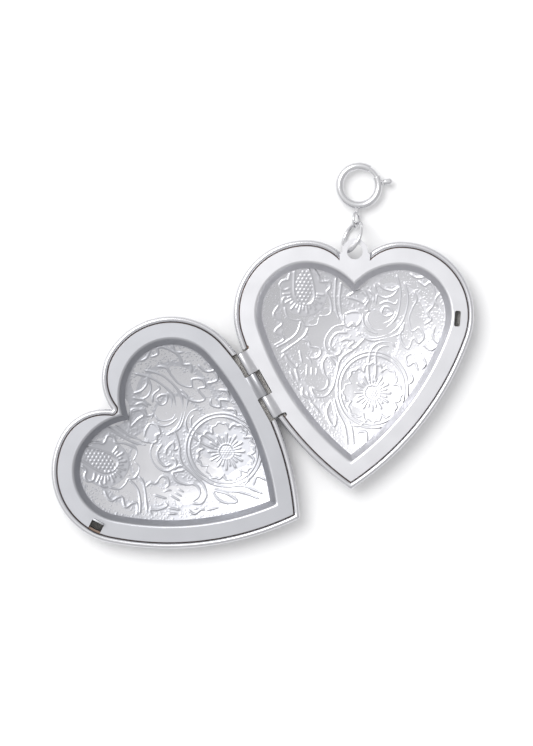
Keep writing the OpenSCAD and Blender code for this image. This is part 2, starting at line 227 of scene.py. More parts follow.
# %% Finish a piece
HINGE_DIR = math.radians(210.5)
HINGE_REACH, HINGE_SHIFT = 12.65, 2.15
OUT = Vector((math.cos(HINGE_DIR), math.sin(HINGE_DIR), 0))
ALONG = Vector((OUT.y, -OUT.x, 0))
HINGE_Z = 3.55
BARREL = HINGE_REACH * OUT + HINGE_SHIFT * ALONG
AT_HINGE = Matrix.Translation(BARREL) @ Matrix.Rotation(HINGE_DIR - math.pi / 2, 4, "Z")
MIRROR = Matrix.Identity(4)
for row in range(3):
    for col in range(3):
        MIRROR[row][col] -= 2 * OUT[row] * OUT[col]
TO_FRONT = Matrix.Translation(2 * HINGE_REACH * OUT) @ MIRROR
LEVEL_NORMAL = 0.9999


def add_piece(bm, name, material, body, nodes, front=False, sharp=40.0, level=False):
    """Turns a bmesh in millimetres into a piece that rides on a body.

    An edge is sharp where its faces turn by more than sharp degrees. With level, it is sharp too
    where a level face meets another, so that a flat stays flat beside its rounded edge.
    """
    if front:
        bmesh.ops.transform(bm, matrix=TO_FRONT, verts=bm.verts)
        bmesh.ops.reverse_faces(bm, faces=bm.faces)
    bmesh.ops.scale(bm, vec=(MM, MM, MM), verts=bm.verts)
    for edge in bm.edges:
        meets_flat = len({abs(face.normal.z) > LEVEL_NORMAL for face in edge.link_faces}) > 1
        edge.smooth = edge.calc_face_angle(0) < math.radians(sharp) and not (level and meets_flat)
    mesh = bpy.data.meshes.new(name)
    bm.to_mesh(mesh)
    bm.free()
    mesh.polygons.foreach_set("use_smooth", [True] * len(mesh.polygons))
    piece = bpy.data.objects.new(name, mesh)
    scene.collection.objects.link(piece)
    mesh.materials.append(material)
    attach(piece, body)
    if nodes:
        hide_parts(*nodes)
    print(f"{name}: {len(mesh.polygons)} faces")
    return piece


def outward(bm):
    """Merges doubles and makes the faces of a closed shape point outwards."""
    bmesh.ops.remove_doubles(bm, verts=bm.verts, dist=MERGE)
    bmesh.ops.recalc_face_normals(bm, faces=bm.faces)


# %% [markdown]
# A press cuts holes and slots through a finished sheet, and a Boolean does the same here. The
# cutters are blocks, posts and bent bars. The solver expects closed shapes and gives closed
# shapes back.

# %% Cutting and joining
def combined(bm, tools, operation):
    """Cuts each tool from a closed bmesh, or joins it on, and returns the result."""
    def temporary(source, name):
        mesh = bpy.data.meshes.new(name)
        source.to_mesh(mesh)
        source.free()
        made = bpy.data.objects.new(name, mesh)
        scene.collection.objects.link(made)
        return made
    work = temporary(bm, "work")
    others = []
    for tool in tools:
        other = temporary(tool, "tool")
        others.append(other)
        step = work.modifiers.new("cut", "BOOLEAN")
        step.operation, step.object, step.solver = operation, other, "MANIFOLD"
    bpy.context.view_layer.update()
    shape = work.evaluated_get(bpy.context.evaluated_depsgraph_get())
    result = bmesh.new()
    result.from_mesh(shape.to_mesh())
    shape.to_mesh_clear()
    for made in [work] + others:
        mesh = made.data
        bpy.data.objects.remove(made)
        bpy.data.meshes.remove(mesh)
    return result


def block(low, high, place=Matrix.Identity(4)):
    """A closed block between two corners."""
    bm = bmesh.new()
    size = Vector(high) - Vector(low)
    middle = (Vector(high) + Vector(low)) / 2
    at = place @ Matrix.Translation(middle) @ Matrix.Diagonal((*size, 1))
    bmesh.ops.create_cube(bm, size=1, matrix=at)
    return bm


def post(centre, radius, low, high, place=Matrix.Identity(4), sides=48):
    """A closed upright cylinder."""
    bm = bmesh.new()
    at = place @ Matrix.Translation((centre[0], centre[1], (low + high) / 2))
    bmesh.ops.create_cone(bm, cap_ends=True, segments=sides, radius1=radius, radius2=radius,
                          depth=high - low, matrix=at)
    return bm


# %% [markdown]
# ## The shells
#
# Each cover is one pressing: a domed back, a rounded side and a rolled bead round the open
# edge. Rings of the outline are drawn from the middle of the back outwards, up over the bead
# and down into the hollow, and each is bridged to the next. The back is never lower than a
# large dome that is flat in the middle, where the locket rests.

# %% Shell sizes and the dome
HALF_H, SEAT_Z = 3.5, 3.2
DOME_R, FLAT_R = 60.0, 5.0
DOME_MID = math.sqrt(DOME_R ** 2 - FLAT_R ** 2)
SIDE_IN, SIDE_ROUND = 3.01, 3
BEAD_R, BEAD_IN, BEAD_Z = 0.36, 0.37, 3.14
HOLLOW_T, HOLLOW_IN, HOLLOW_R, HOLLOW_Z = 0.5, 3.4, 2.4, 2.9
RING_STEP = 0.003


def dome_z(x, y, sheet):
    """The dome's height, on the outside where sheet is 0 and inside by that thickness."""
    return max(sheet, DOME_MID - math.sqrt((DOME_R - sheet) ** 2 - x * x - y * y))


def ring_path():
    """The shell's section as (inset, scale, height, sheet) from the back's middle to the floor's."""
    path = [(SIDE_IN, s, 0.0, 0.0) for s in (0.15, 0.35, 0.55, 0.72, 0.86)]
    path += [(SIDE_IN - SIDE_ROUND * math.sin(a), 1, SIDE_ROUND - SIDE_ROUND * math.cos(a), 0.0)
             for a in np.radians(np.linspace(0, 90, 10))]
    path += [(BEAD_IN + BEAD_R * math.cos(a), 1, BEAD_Z + BEAD_R * math.sin(a), 0.0)
             for a in np.radians(np.linspace(180, 9.6, 12))]
    path += [(0.78, 1, 3.165, 0.0), (1.0, 1, 3.16, 0.0)]
    path += [(HOLLOW_IN - HOLLOW_R * math.sin(a), 1, HOLLOW_Z - HOLLOW_R * math.cos(a), HOLLOW_T)
             for a in np.radians(np.linspace(90, 0, 7))]
    path += [(HOLLOW_IN, s, 0.0, HOLLOW_T) for s in (0.8, 0.5, 0.2)]
    return path


# %% [markdown]
# Two rings at the same height can be bridged with a twist, so on the flats each larger ring is
# drawn a hair higher than the one inside it. The rear bead dies away either side of the lug.

# %% Make a shell
GAP_HALF, GAP_DROP = 1.98, 0.06


def shell(with_lug_gap):
    bm = bmesh.new()
    last = None
    for inset, scale, z, sheet in ring_path():
        edges = heart_loop(bm, inset, 0)
        for v in {v for e in edges for v in e.verts}:
            v.co.x, v.co.y = scale * v.co.x, scale * v.co.y
            v.co.z = max(z, dome_z(v.co.x, v.co.y, sheet)) + RING_STEP * scale
        if last:
            bmesh.ops.bridge_loops(bm, edges=last + edges)
        else:
            bmesh.ops.contextual_create(bm, geom=edges)
        last = edges
    bmesh.ops.contextual_create(bm, geom=last)
    outward(bm)
    if with_lug_gap:
        for v in bm.verts:
            if v.co.y > 9 and v.co.z > SEAT_Z - GAP_DROP:
                reach = min(1.0, max(0.0, (abs(v.co.x) - GAP_HALF) / BEAD_R))
                rise = math.sqrt(1 - (1 - reach) ** 2)
                v.co.z = SEAT_Z - GAP_DROP + (v.co.z - SEAT_Z + GAP_DROP) * rise
    cuts = [block((-4.85, -1.05, 2.65), (4.85, 3, 6), AT_HINGE),
            block((-15, -0.06, -1), (15, 4, 6), AT_HINGE)]
    return combined(bm, cuts, "DIFFERENCE")


LEDGE_LOW, LEDGE_HIGH = SEAT_Z - 0.08, SEAT_Z + 0.05
HIDDEN_IN = 2.9


def tarnish_and_paint_shade(piece):
    """Tarnishes the ledge by the bead, and paints dark shade into the hollow under the frame and the pocket
    at the hinge.
    """
    piece.data.materials.append(GROOVE)
    piece.data.materials.append(PAINTED_SHADE_DARK)
    to_rear = TO_FRONT if piece.name.startswith("front") else Matrix()
    to_hinge = AT_HINGE.inverted()
    for face in piece.data.polygons:
        place = to_rear @ (face.center / MM)
        inset = inset_at(place.x, place.y)
        # Faces hidden under the frame get the dark painted shade.
        hidden = 1.0 < inset < HIDDEN_IN and inset_at(place.x, place.y, recess=True) < HIDDEN_IN
        if LEDGE_LOW < place.z < LEDGE_HIGH and 0.66 < inset < 1.05:
            face.material_index = 1
        elif face.normal.z > 0.02 and hidden:
            face.material_index = 2
        # The pocket at the hinge gets the same dark painted shade.
        local = to_hinge @ place
        if abs(local.x) < 4.9 and -1.2 < local.y < 0.1 and 2 < local.z < 3.3:
            face.material_index = 2


rear_shell = add_piece(shell(True), "rear_shell_skin", SHELL, "rear_cover", ["rear_shell"])
front_shell = add_piece(shell(False), "front_shell_skin", SHELL, "front_cover",
                        ["front_shell"], front=True)
tarnish_and_paint_shade(rear_shell)
tarnish_and_paint_shade(front_shell)

# %% [markdown]
# ## The frames
#
# A frame is a flat heart-shaped rim whose inner edge is pressed down into the picture recess.
# Its outer edge follows the shell round the notch, but the recess has a shallower notch, so
# the two edges are drawn by different arcs and bridged. The press leaves a small radius at the
# top of the recess wall and at the rim's outer edge, and those are what catch the light.

# %% Make a frame's sheet
def frame_sheet():
    """The rim and the recess wall, from a section of (inset, height, follows the recess)."""
    bm = bmesh.new()
    section = [(0.80, SEAT_Z, False), (0.80, 3.44, False), (0.815, 3.48, False), (0.86, 3.499, False),
               (2.62, 3.5, True), (2.74, 3.488, True), (2.85, 3.44, True), (2.95, 3.34, True),
               (3.45, 2.30, True), (3.53, 2.10, True), (3.58, 2.0, True),
               (3.34, 2.01, True), (2.66, SEAT_Z + 0.01, True)]
    loops = [heart_loop(bm, inset, z, recess) for inset, z, recess in section]
    for a, b in zip(loops, loops[1:] + loops[:1]):
        bmesh.ops.bridge_loops(bm, edges=a + b)
    outward(bm)
    return bm


# %% [markdown]
# The rear frame carries the lug. Its tab fills the gap between the bead's two ends and narrows
# to a round eye. A vertex spun round the eye and a chain of points down the tab's side draw half
# of it, and a mirror makes it whole.

# %% The lug
LUG = Vector((0, 12.63, 0))
LUG_R, LUG_HOLE_R = 1.65, 1.0


def lug():
    bm = bmesh.new()
    top = bm.verts.new(LUG + Vector((0, LUG_R, SEAT_Z)))
    end = walk(bm, top, LUG, -math.pi / 2, steps=20)
    for x, y in ((1.68, 12.5), (1.78, 12.4), (1.93, 12.32), (1.93, 10.9), (0.7, 9.45), (0, 8.95)):
        point = bm.verts.new((x, y, SEAT_Z))
        bm.edges.new((end, point))
        end = point
    bmesh.ops.mirror(bm, geom=bm.verts[:] + bm.edges[:], axis="X", merge_dist=MERGE)
    face = bmesh.ops.contextual_create(bm, geom=bm.edges[:])["faces"]
    rim = bmesh.ops.extrude_face_region(bm, geom=face)["geom"]
    bmesh.ops.translate(bm, vec=(0, 0, HALF_H - SEAT_Z),
                        verts=[g for g in rim if isinstance(g, bmesh.types.BMVert)])
    bmesh.ops.recalc_face_normals(bm, faces=bm.faces)
    return bm


# %% Cut and join the frames
AT_CATCH = Matrix.Translation(LOBE) @ Matrix.Rotation(math.radians(-3), 4, "Z")
CATCH_R = LOBE_R - 2.1
TONGUE_NEAR, TONGUE_FAR = LOBE_R - 2.25, LOBE_R - 2.0
KNUCKLE_ROOM = -1.0


def bar(width, length, low, high, radial, place):
    """A block with rounded upright corners, for a punched slot."""
    bm = block((radial - width / 2, -length / 2, low), (radial + width / 2, length / 2, high))
    upright = [e for e in bm.edges if abs(e.verts[0].co.z - e.verts[1].co.z) > 0.1]
    bmesh.ops.bevel(bm, geom=upright, offset=min(width, length) * 0.3, segments=4, profile=0.5,
                    affect="EDGES", material=-1)
    bmesh.ops.transform(bm, matrix=place, verts=bm.verts)
    return bm


def rear_frame():
    bm = combined(frame_sheet(), [lug()], "UNION")
    cuts = [post(LUG, LUG_HOLE_R, 2, 5),
            bar(0.75, 2.0, 2.5, 4.5, CATCH_R, AT_CATCH),
            block((-1.72, -1.1, 2), (1.72, 2, 5), AT_HINGE)]
    cuts += [post((x, -1.1), 0.28, 2, 5, AT_HINGE, 24) for x in (-4.9, 4.9)]
    return combined(bm, cuts, "DIFFERENCE")


def front_frame():
    cuts = [block((TONGUE_FAR, -0.83, 2.5), (LOBE_R, 0.83, 5), AT_CATCH),
            block((1.6, KNUCKLE_ROOM, 2), (5.0, 2, 5), AT_HINGE),
            block((-5.0, KNUCKLE_ROOM, 2), (-1.6, 2, 5), AT_HINGE)]
    return combined(frame_sheet(), cuts, "DIFFERENCE")


add_piece(rear_frame(), "rear_frame_rim", FRAME_REAR, "rear_cover", ["rear_frame"],
          sharp=50, level=True)
add_piece(front_frame(), "front_frame_rim", FRAME_FRONT_PAINTED_SHADE, "front_cover", ["front_frame"],
          front=True, sharp=50, level=True)

# %% [markdown]
# The catch is a tongue bent up out of the front frame. Closed, it springs into the rear slot.

# %% The catch tongue
def tongue():
    bm = block((TONGUE_NEAR, -0.725, SEAT_Z), (TONGUE_FAR, 0.725, 4.65), AT_CATCH)
    bmesh.ops.bevel(bm, geom=bm.edges[:], offset=0.06, segments=3, profile=0.5, affect="EDGES",
                    material=-1)
    return bm


add_piece(tongue(), "catch_tongue", FRAME_FRONT_PAINTED_SHADE, "front_cover", [], front=True)

# %% [markdown]
# ## The hinge
#
# The knuckles are the frames' own sheet curled over the pin: the sheet climbs from the rim,
# goes over the top and comes back round under. The section is a leaf that runs into a barrel,
# pushed out along the hinge line to each knuckle's length.

# %% Make a knuckle
BARREL_R, BORE_R = 0.48, 0.28
CURL = 235


def knuckle(x0, x1):
    """A knuckle between two places along the hinge line."""
    bm = bmesh.new()
    top = bm.verts.new((x0, -0.02, HINGE_Z + BARREL_R))
    made = bmesh.ops.spin(bm, geom=[top], cent=(0, 0, HINGE_Z), axis=(1, 0, 0),
                          angle=-math.radians(CURL), steps=28)
    end = [g for g in made["geom_last"] if isinstance(g, bmesh.types.BMVert)][0]
    chain = [(-0.52, SEAT_Z), (-1.22, SEAT_Z), (-1.22, HALF_H), (-0.92, HALF_H + 0.004),
             (-0.72, 3.56), (-0.56, 3.68), (-0.42, 3.84), (-0.22, 3.98)]
    for y, z in chain:
        point = bm.verts.new((x0, y, z))
        bm.edges.new((end, point))
        end = point
    bm.edges.new((end, top))
    face = bmesh.ops.contextual_create(bm, geom=bm.edges[:])["faces"]
    far = bmesh.ops.extrude_face_region(bm, geom=face)["geom"]
    bmesh.ops.translate(bm, vec=(x1 - x0, 0, 0),
                        verts=[g for g in far if isinstance(g, bmesh.types.BMVert)])
    ends = [e for e in bm.edges if abs(e.verts[0].co.x - e.verts[1].co.x) < 1e-5]
    bmesh.ops.bevel(bm, geom=ends, offset=0.035, segments=2, profile=0.5, affect="EDGES", material=-1,
                    clamp_overlap=True)
    bmesh.ops.recalc_face_normals(bm, faces=bm.faces)
    along_pin = Matrix.Translation((0, 0, HINGE_Z)) @ Matrix.Rotation(math.pi / 2, 4, "Y")
    pin_hole = post((0, 0), BORE_R, -8, 8, along_pin, sides=32)
    bm = combined(bm, [pin_hole], "DIFFERENCE")
    bmesh.ops.transform(bm, matrix=AT_HINGE, verts=bm.verts)
    return bm


for label, x0, x1 in (("upper", 1.67, 4.6), ("lower", -4.6, -1.67)):
    add_piece(knuckle(x0, x1), f"rear_knuckle_{label}", FRAME_REAR, "rear_cover", [],
              level=True)
add_piece(knuckle(-1.57, 1.57), "front_knuckle", FRAME_FRONT_PAINTED_SHADE, "front_cover", [],
          front=True, level=True)

# %% [markdown]
# ## The links and the clasp
#
# Each of these is wire or tube bent round. A disc or a circle spun about the ring's axis gives
# wire, and a flat washer spun the same way gives tube. The bolt ring is a tube with a gap; a
# sprung wire in it closes the gap, and a trigger on that wire stands out through a slot.

# %% Bend wire and tube
CLASP = Vector((0.43, 21.09, 1.16))
BEND_R, TUBE_R = 2.5, 0.5


def bent(bend, radius, start, end, bore=0.0, rounded=0.0, steps=96, sides=28):
    """Wire or tube bent from one direction to another, in degrees, flat on the origin."""
    bm = bmesh.new()
    upright = Matrix.Translation((bend, 0, 0)) @ Matrix.Rotation(math.pi / 2, 4, "X")
    whole = end - start >= 360
    if bore:
        loops = []
        for r in (radius, bore):
            made = bmesh.ops.create_circle(bm, segments=sides, radius=r, matrix=upright)
            loops += list({e for v in made["verts"] for e in v.link_edges})
        bmesh.ops.bridge_loops(bm, edges=loops)
    else:
        bmesh.ops.create_circle(bm, cap_ends=not whole, segments=sides, radius=radius, matrix=upright)
    bmesh.ops.rotate(bm, cent=(0, 0, 0), matrix=Matrix.Rotation(math.radians(start), 3, "Z"),
                     verts=bm.verts)
    bmesh.ops.spin(bm, geom=bm.verts[:] + bm.edges[:] + bm.faces[:], cent=(0, 0, 0), axis=(0, 0, 1),
                   angle=math.radians(end - start), steps=steps, use_merge=whole)
    outward(bm)
    if rounded:
        flat = [e for e in bm.edges if e.calc_face_angle(0) > math.radians(60)]
        bmesh.ops.bevel(bm, geom=flat, offset=rounded, segments=3, profile=0.5, affect="EDGES",
                        material=-1)
    return bm


def moved(bm, *steps):
    """Turns and shifts a bmesh, one step after another."""
    for step in steps:
        bmesh.ops.transform(bm, matrix=step, verts=bm.verts)
    return bm


def turn(degrees, axis):
    return Matrix.Rotation(math.radians(degrees), 4, axis)


# %% The jump ring and the clasp's eye
ring = moved(bent(2.04, 0.25, 0, 360), turn(-65.2, "X"), turn(64.63, "Z"),
             Matrix.Translation((-0.35, 14.492, 2.149)))
add_piece(ring, "jump_ring_wire", WIRE, "link", ["jump_ring"])

eye = moved(bent(0.93, 0.2, 0, 360, steps=64, sides=20), turn(66.45, "Y"),
            Matrix.Translation((0.153, 16.692, 1.161)))
neck = bmesh.new()
bmesh.ops.create_cone(neck, cap_ends=True, segments=28, radius1=0.26, radius2=0.34, depth=0.75,
                      matrix=Matrix.Translation((0.26, 17.92, 1.16)) @ turn(-90, "X"))
tube_room = moved(bent(BEND_R, TUBE_R, 200, 340, steps=60), Matrix.Translation(CLASP))
eye = combined(combined(eye, [neck], "UNION"), [tube_room], "DIFFERENCE")
add_piece(eye, "clasp_eye_wire", WIRE, "clasp", ["clasp_eye"])

# %% The tube, the bolt and the trigger
SLOT_FROM, SLOT_TURN = -36, 52
tube = bent(BEND_R, TUBE_R, 59, 388, bore=0.37, rounded=0.035, steps=150, sides=36)
slot = bmesh.new()
slot_end = Matrix.Translation((BEND_R + 0.6, 0, 0)) @ turn(90, "X") @ Matrix.Diagonal((0.9, 0.4, 1, 1))
bmesh.ops.create_grid(slot, x_segments=1, y_segments=1, size=0.5, matrix=slot_end)
bmesh.ops.rotate(slot, cent=(0, 0, 0), matrix=Matrix.Rotation(math.radians(SLOT_FROM), 3, "Z"),
                 verts=slot.verts)
bmesh.ops.spin(slot, geom=slot.verts[:] + slot.edges[:] + slot.faces[:], cent=(0, 0, 0),
               axis=(0, 0, 1), angle=math.radians(SLOT_TURN), steps=24)
outward(slot)
tube = moved(combined(tube, [slot], "DIFFERENCE"), Matrix.Translation(CLASP))
add_piece(tube, "clasp_tube_bent", WIRE, "clasp", ["clasp_tube"])

bolt = moved(bent(BEND_R, 0.31, -20.8, 66, rounded=0.06, steps=40), Matrix.Translation(CLASP))
add_piece(bolt, "clasp_bolt_wire", WIRE, "bolt", ["clasp_bolt"])

KNOB_R, KNOB_NEAR, KNOB_FAR = 0.42, 3.3, 3.89
trigger = bmesh.new()
bmesh.ops.create_uvsphere(trigger, u_segments=28, v_segments=18, radius=KNOB_R, matrix=turn(90, "Y"))
for v in trigger.verts:
    v.co.x = KNOB_FAR + v.co.x if v.co.x > 0 else KNOB_NEAR + 0.5 * v.co.x
stalk = block((2.83, -0.17, -0.17), (KNOB_NEAR, 0.17, 0.17))
nail_slit = block((3.12, -0.06, 0.12), (4.05, 0.06, 0.6))
trigger = combined(trigger, [stalk], "UNION")
trigger = combined(trigger, [nail_slit], "DIFFERENCE")
trigger = moved(trigger, turn(9, "Z"), Matrix.Translation(CLASP))
add_piece(trigger, "clasp_trigger_bar", WIRE, "bolt", ["clasp_trigger"])

# %% [markdown]
# The pin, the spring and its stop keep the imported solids' shapes and take drawn steel.

# %% Finish the inner pieces
for name in ("hinge_pin", "clasp_spring", "clasp_stop"):
    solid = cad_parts[name]
    solid.data.materials.clear()
    solid.data.materials.append(PIN)
    print(f"{name}: drawn steel")

# %% [markdown]
# ## The pressed pattern
#
# The floor of each cover carries the same flowers, leaves and stems, pressed from one die. The
# lines are given as a few points each, in millimetres, and a smooth curve runs through them.
# Both floors carry it the same way round. The front floor is mirrored over like the rest of its
# cover, so its relief is drawn the other way about first.

# %% Lines of the pattern
STROKES = [
    # cone flower: its cone, then its petals
    [(-7.6, 10.4), (-7.6, 7.3), (-6.9, 6.1), (-6.2, 5.8), (-5.4, 6.0), (-5.0, 7.0), (-5.4, 9.2),
     (-5.9, 10.5)],
    [(-8.8, 5.5), (-8.4, 4.2), (-7.4, 3.8), (-6.7, 3.8), (-6.2, 3.2), (-5.4, 3.1), (-4.6, 3.4), (-4.4, 4.3)],
    [(-4.4, 4.4), (-3.3, 4.5), (-2.8, 5.1), (-3.0, 6.5), (-3.4, 7.5), (-3.0, 8.1), (-3.2, 8.8), (-4.3, 8.8),
     (-4.6, 9.6), (-5.2, 10.4)],
    [(-8.8, 5.5), (-9.1, 6.0), (-9.0, 6.5), (-8.6, 6.8)],
    [(-8.1, 7.9), (-9.0, 7.6), (-9.5, 8.2), (-9.1, 8.8), (-8.4, 9.0), (-8.2, 10.0)],
    # leaf and two bands at the left
    [(-9.5, 5.7), (-10.1, 4.8), (-10.1, 4.2), (-9.4, 3.8), (-9.1, 3.3), (-9.8, 2.6), (-9.9, 2.2), (-9.1, 1.8),
     (-8.9, 1.2), (-10.1, 0.5)],
    [(-6.7, 3.8), (-6.9, 2.8), (-7.4, 1.9), (-8.5, 1.0), (-9.8, 0.3)],
    [(-5.7, 2.9), (-6.1, 2.0), (-6.8, 1.3), (-8.0, 0.4), (-9.1, -0.4)],
    # tulip at the left, with strokes in its petals
    [(-6.5, 1.4), (-5.7, 1.1), (-5.4, 0.5), (-4.3, 0.3), (-4.1, -0.4), (-4.7, -1.0), (-5.3, -0.9)],
    [(-6.8, 0.0), (-6.6, -0.9), (-6.4, -1.7)],
    [(-5.9, -0.9), (-5.4, -1.3), (-5.2, -1.8)],
    [(-9.1, -1.1), (-8.7, -0.6), (-8.2, -1.4), (-7.2, -2.2), (-7.0, -1.7)],
    [(-8.0, -2.7), (-7.4, -3.8)],
    [(-7.3, -2.4), (-6.8, -3.9)],
    [(-5.8, -1.8), (-5.8, -3.3)],
    [(-5.2, -2.1), (-5.2, -3.3)],
    [(-4.6, -2.2), (-4.6, -3.3)],
    [(-6.3, -4.7), (-6.3, -5.7), (-5.4, -6.2), (-5.2, -6.7)],
    [(-5.8, -5.3), (-5.5, -5.9)],
    [(-5.2, -6.8), (-4.5, -7.5), (-4.1, -8.0)],
    # double stem under the notch
    [(-2.3, 9.3), (-2.4, 6.7), (-2.2, 5.1), (-1.8, 3.9)],
    [(-1.6, 8.8), (-1.8, 6.7), (-1.6, 4.9), (-1.3, 3.8)],
    # curved stems and a leaf round the daisy
    [(-3.2, -0.6), (-3.8, -1.6), (-3.6, -2.9), (-3.1, -3.8), (-3.3, -4.7), (-4.1, -5.1), (-5.1, -4.7)],
    [(-5.3, -4.7), (-4.7, -5.8), (-3.4, -5.8), (-2.5, -4.7), (-2.0, -2.9), (-1.7, -1.4), (-0.9, -0.4),
     (0.2, 0.2)],
    [(-2.3, -6.1), (-1.8, -7.8), (-0.9, -9.6), (-0.5, -12.0)],
    [(-1.8, -6.0), (-1.2, -7.7), (-0.1, -9.5), (0.3, -12.0)],
    [(-2.6, -6.2), (-3.2, -7.6), (-2.9, -8.9), (-2.2, -9.6), (-2.0, -8.3), (-2.6, -6.2)],
    [(2.2, -3.8), (2.0, -2.3), (2.1, -0.9), (2.4, 0.3), (3.3, 1.1), (4.7, 1.2), (5.4, 0.6)],
    [(2.8, -4.0), (3.0, -2.3), (2.9, -0.9), (3.1, 0.1), (3.9, 0.7), (4.7, 0.6)],
    [(-0.1, -9.4), (1.0, -9.5), (2.1, -8.6)],
    [(0.6, -10.4), (1.8, -10.3), (2.0, -11.5)],
    # tulip and scroll in the middle
    [(-1.2, 4.7), (-0.2, 5.0), (0.8, 4.9), (1.0, 4.0), (0.4, 3.2), (-0.1, 3.5), (-0.7, 3.1), (-1.2, 3.6),
     (-1.2, 4.7)],
    [(-0.9, 3.4), (-2.3, 3.1), (-3.2, 2.2), (-3.6, 1.1), (-3.3, 0.0), (-2.3, -0.6), (-1.6, -0.2),
     (-1.7, 0.3)],
    [(-0.7, 2.3), (-1.9, 2.3), (-2.7, 1.6), (-2.9, 0.6), (-2.3, 0.0)],
    [(-1.6, 1.2), (-0.9, 1.5), (0.1, 1.2), (-0.5, 0.6), (0.1, 0.3), (1.0, 1.1), (1.7, 2.0)],
    [(-3.2, -0.6), (-2.6, -1.3), (-2.1, -1.9)],
    [(-2.9, -0.6), (-2.1, -0.9), (-1.8, -1.5)],
    # long double stem that sweeps up to the right
    [(0.6, 2.3), (2.1, 1.7), (3.9, 2.0), (5.5, 2.9), (6.4, 4.2), (6.9, 6.2), (6.8, 7.6), (6.4, 8.9)],
    [(1.0, 2.0), (2.4, 1.4), (4.4, 1.8), (6.1, 2.5), (6.5, 3.8)],
    # leaves and a curl inside the upper scroll
    [(-0.9, 6.9), (0.1, 7.5), (1.2, 7.8), (1.7, 6.9), (1.3, 6.2), (0.6, 6.5), (-0.1, 6.7), (-0.9, 6.9)],
    [(0.9, 7.8), (1.9, 6.7), (1.5, 5.8), (1.9, 5.2), (1.3, 5.1)],
    [(1.9, 7.8), (2.6, 7.1), (2.5, 6.2)],
    [(1.2, 4.9), (1.3, 3.6), (2.0, 2.7), (3.3, 2.2)],
    [(5.4, 9.8), (5.9, 8.0), (5.9, 6.2), (5.5, 4.5), (4.4, 3.2), (3.1, 2.7), (2.2, 3.3), (1.8, 4.3),
     (2.1, 4.9)],
    [(3.1, 8.7), (3.9, 8.0), (5.0, 7.8), (5.7, 8.2), (5.0, 7.2), (3.9, 6.9), (3.0, 7.4), (2.6, 8.5)],
    [(3.3, 6.0), (4.2, 6.4), (5.3, 6.1), (5.6, 6.7)],
    [(3.9, 5.8), (4.6, 5.6), (5.0, 4.9), (4.2, 4.5), (3.6, 4.9), (3.9, 5.8)],
    [(2.6, 4.0), (3.5, 3.6), (4.4, 3.8), (5.1, 4.3), (5.4, 5.1)],
    [(3.1, 7.6), (2.9, 6.7), (2.9, 6.0)],
    # wavy leaves at the right
    [(7.6, 7.8), (8.0, 6.7), (7.5, 5.6), (7.1, 4.2), (7.5, 2.7), (8.4, 3.1), (9.0, 2.0), (8.4, 1.2),
     (7.7, 1.8), (7.1, 0.5), (6.4, 0.9), (6.0, 2.0), (6.2, 3.4)],
    [(8.2, 9.1), (9.0, 8.5), (9.7, 8.9), (10.2, 8.0), (10.2, 6.2), (9.5, 5.1), (9.9, 4.2), (9.1, 3.6)],
    [(11.0, 7.6), (10.4, 6.7), (10.8, 5.8)],
    [(10.4, 3.4), (10.2, 2.0), (11.0, 1.2), (11.1, 2.3)],
    [(8.9, 1.2), (9.9, 0.3), (10.8, 0.9)],
    [(8.4, -2.4), (7.9, -1.3), (7.1, -1.7), (6.8, -0.6), (7.5, -0.2)],
    [(7.1, 10.0), (7.9, 9.5), (9.1, 9.6)],
    [(8.9, -0.5), (9.3, -1.5), (8.8, -2.2)],
    [(7.3, -2.6), (7.7, -3.5), (7.1, -4.2)],
]
CONE, RAYS, DAISY = Vector((-6.4, 8.0)), Vector((-6.4, 7.3)), Vector((2.6, -5.3))
OVAL, TULIP = Vector((2.6, -4.9)), Vector((-0.1, 4.1))
SPACING = 0.05


def smooth_line(points):
    """Points every few hundredths of a millimetre along a smooth curve through the given ones."""
    ends = [points[0]] + list(points) + [points[-1]]
    line = []
    for a, b, c, d in zip(ends, ends[1:], ends[2:], ends[3:]):
        a, b, c, d = (Vector(p) for p in (a, b, c, d))
        count = max(2, int((c - b).length / SPACING))
        for i in range(count):
            t = i / count
            line.append(b + t * ((c - a) / 2 + t * (a - 2.5 * b + 2 * c - d / 2
                                                    + t * (1.5 * b - a / 2 - 1.5 * c + d / 2))))
    return line


def polar(centre, radii, turn0=0.0, turn1=360.0, count=200):
    """A line round a centre whose radius is a function of the angle."""
    line = []
    for i in range(count + 1):
        a = math.radians(turn0 + (turn1 - turn0) * i / count)
        line.append(centre + radii(a) * Vector((math.cos(a), math.sin(a))))
    return line


def rays(centre, near, far, turn0, turn1, count):
    """Straight strokes round a centre, alternately long and short by a fixed step."""
    step = 0.45
    made = []
    for i in range(count):
        a = math.radians(turn0 + (turn1 - turn0) * i / (count - 1))
        way = Vector((math.cos(a), math.sin(a)))
        reach = far - (step if i % 2 else 0.0)
        made += [centre + float(r) * way for r in np.arange(near, reach, SPACING)]
    return made


# %% [markdown]
# A stroke fades at both ends. Every line's points go into one search tree, which finds the line
# nearest to any place on the floor.

# %% Gather every raised line
FAINT, FADE_POINTS = 0.15, 9
lines, strength = [], []
for stroke in STROKES:
    line = smooth_line(stroke)
    lines += line
    strength += [min(1.0, FAINT + i / FADE_POINTS, FAINT + (len(line) - i) / FADE_POINTS)
                 for i in range(len(line))]
lines += rays(RAYS, 1.75, 2.6, 185, 355, 15)
lines += rays(DAISY, 1.05, 2.3, 0, 345, 24)
lines += polar(DAISY, lambda a: 1.0)
lines += polar(DAISY, lambda a: 3.0 + 0.75 * abs(math.cos(4 * a)) ** 0.6 + 0.1 * math.cos(24 * a),
               count=420)
for grow in (0.0, 0.42):
    lines += polar(OVAL, lambda a: (4.05 + grow) * (1 + 0.09 * abs(math.sin(a))), count=420)
raised = KDTree(len(lines))
for i, p in enumerate(lines):
    raised.insert((p.x, p.y, 0), i)
raised.balance()
strength += [1.0] * (len(lines) - len(strength))
print("points on raised lines:", len(lines))

# %% [markdown]
# Between the lines the ground is stippled, and the flowers are smooth and slightly puffed up.
# Each grid point's height is the dome's, plus a round ridge if it is near a line, plus the
# stipple or the puff.

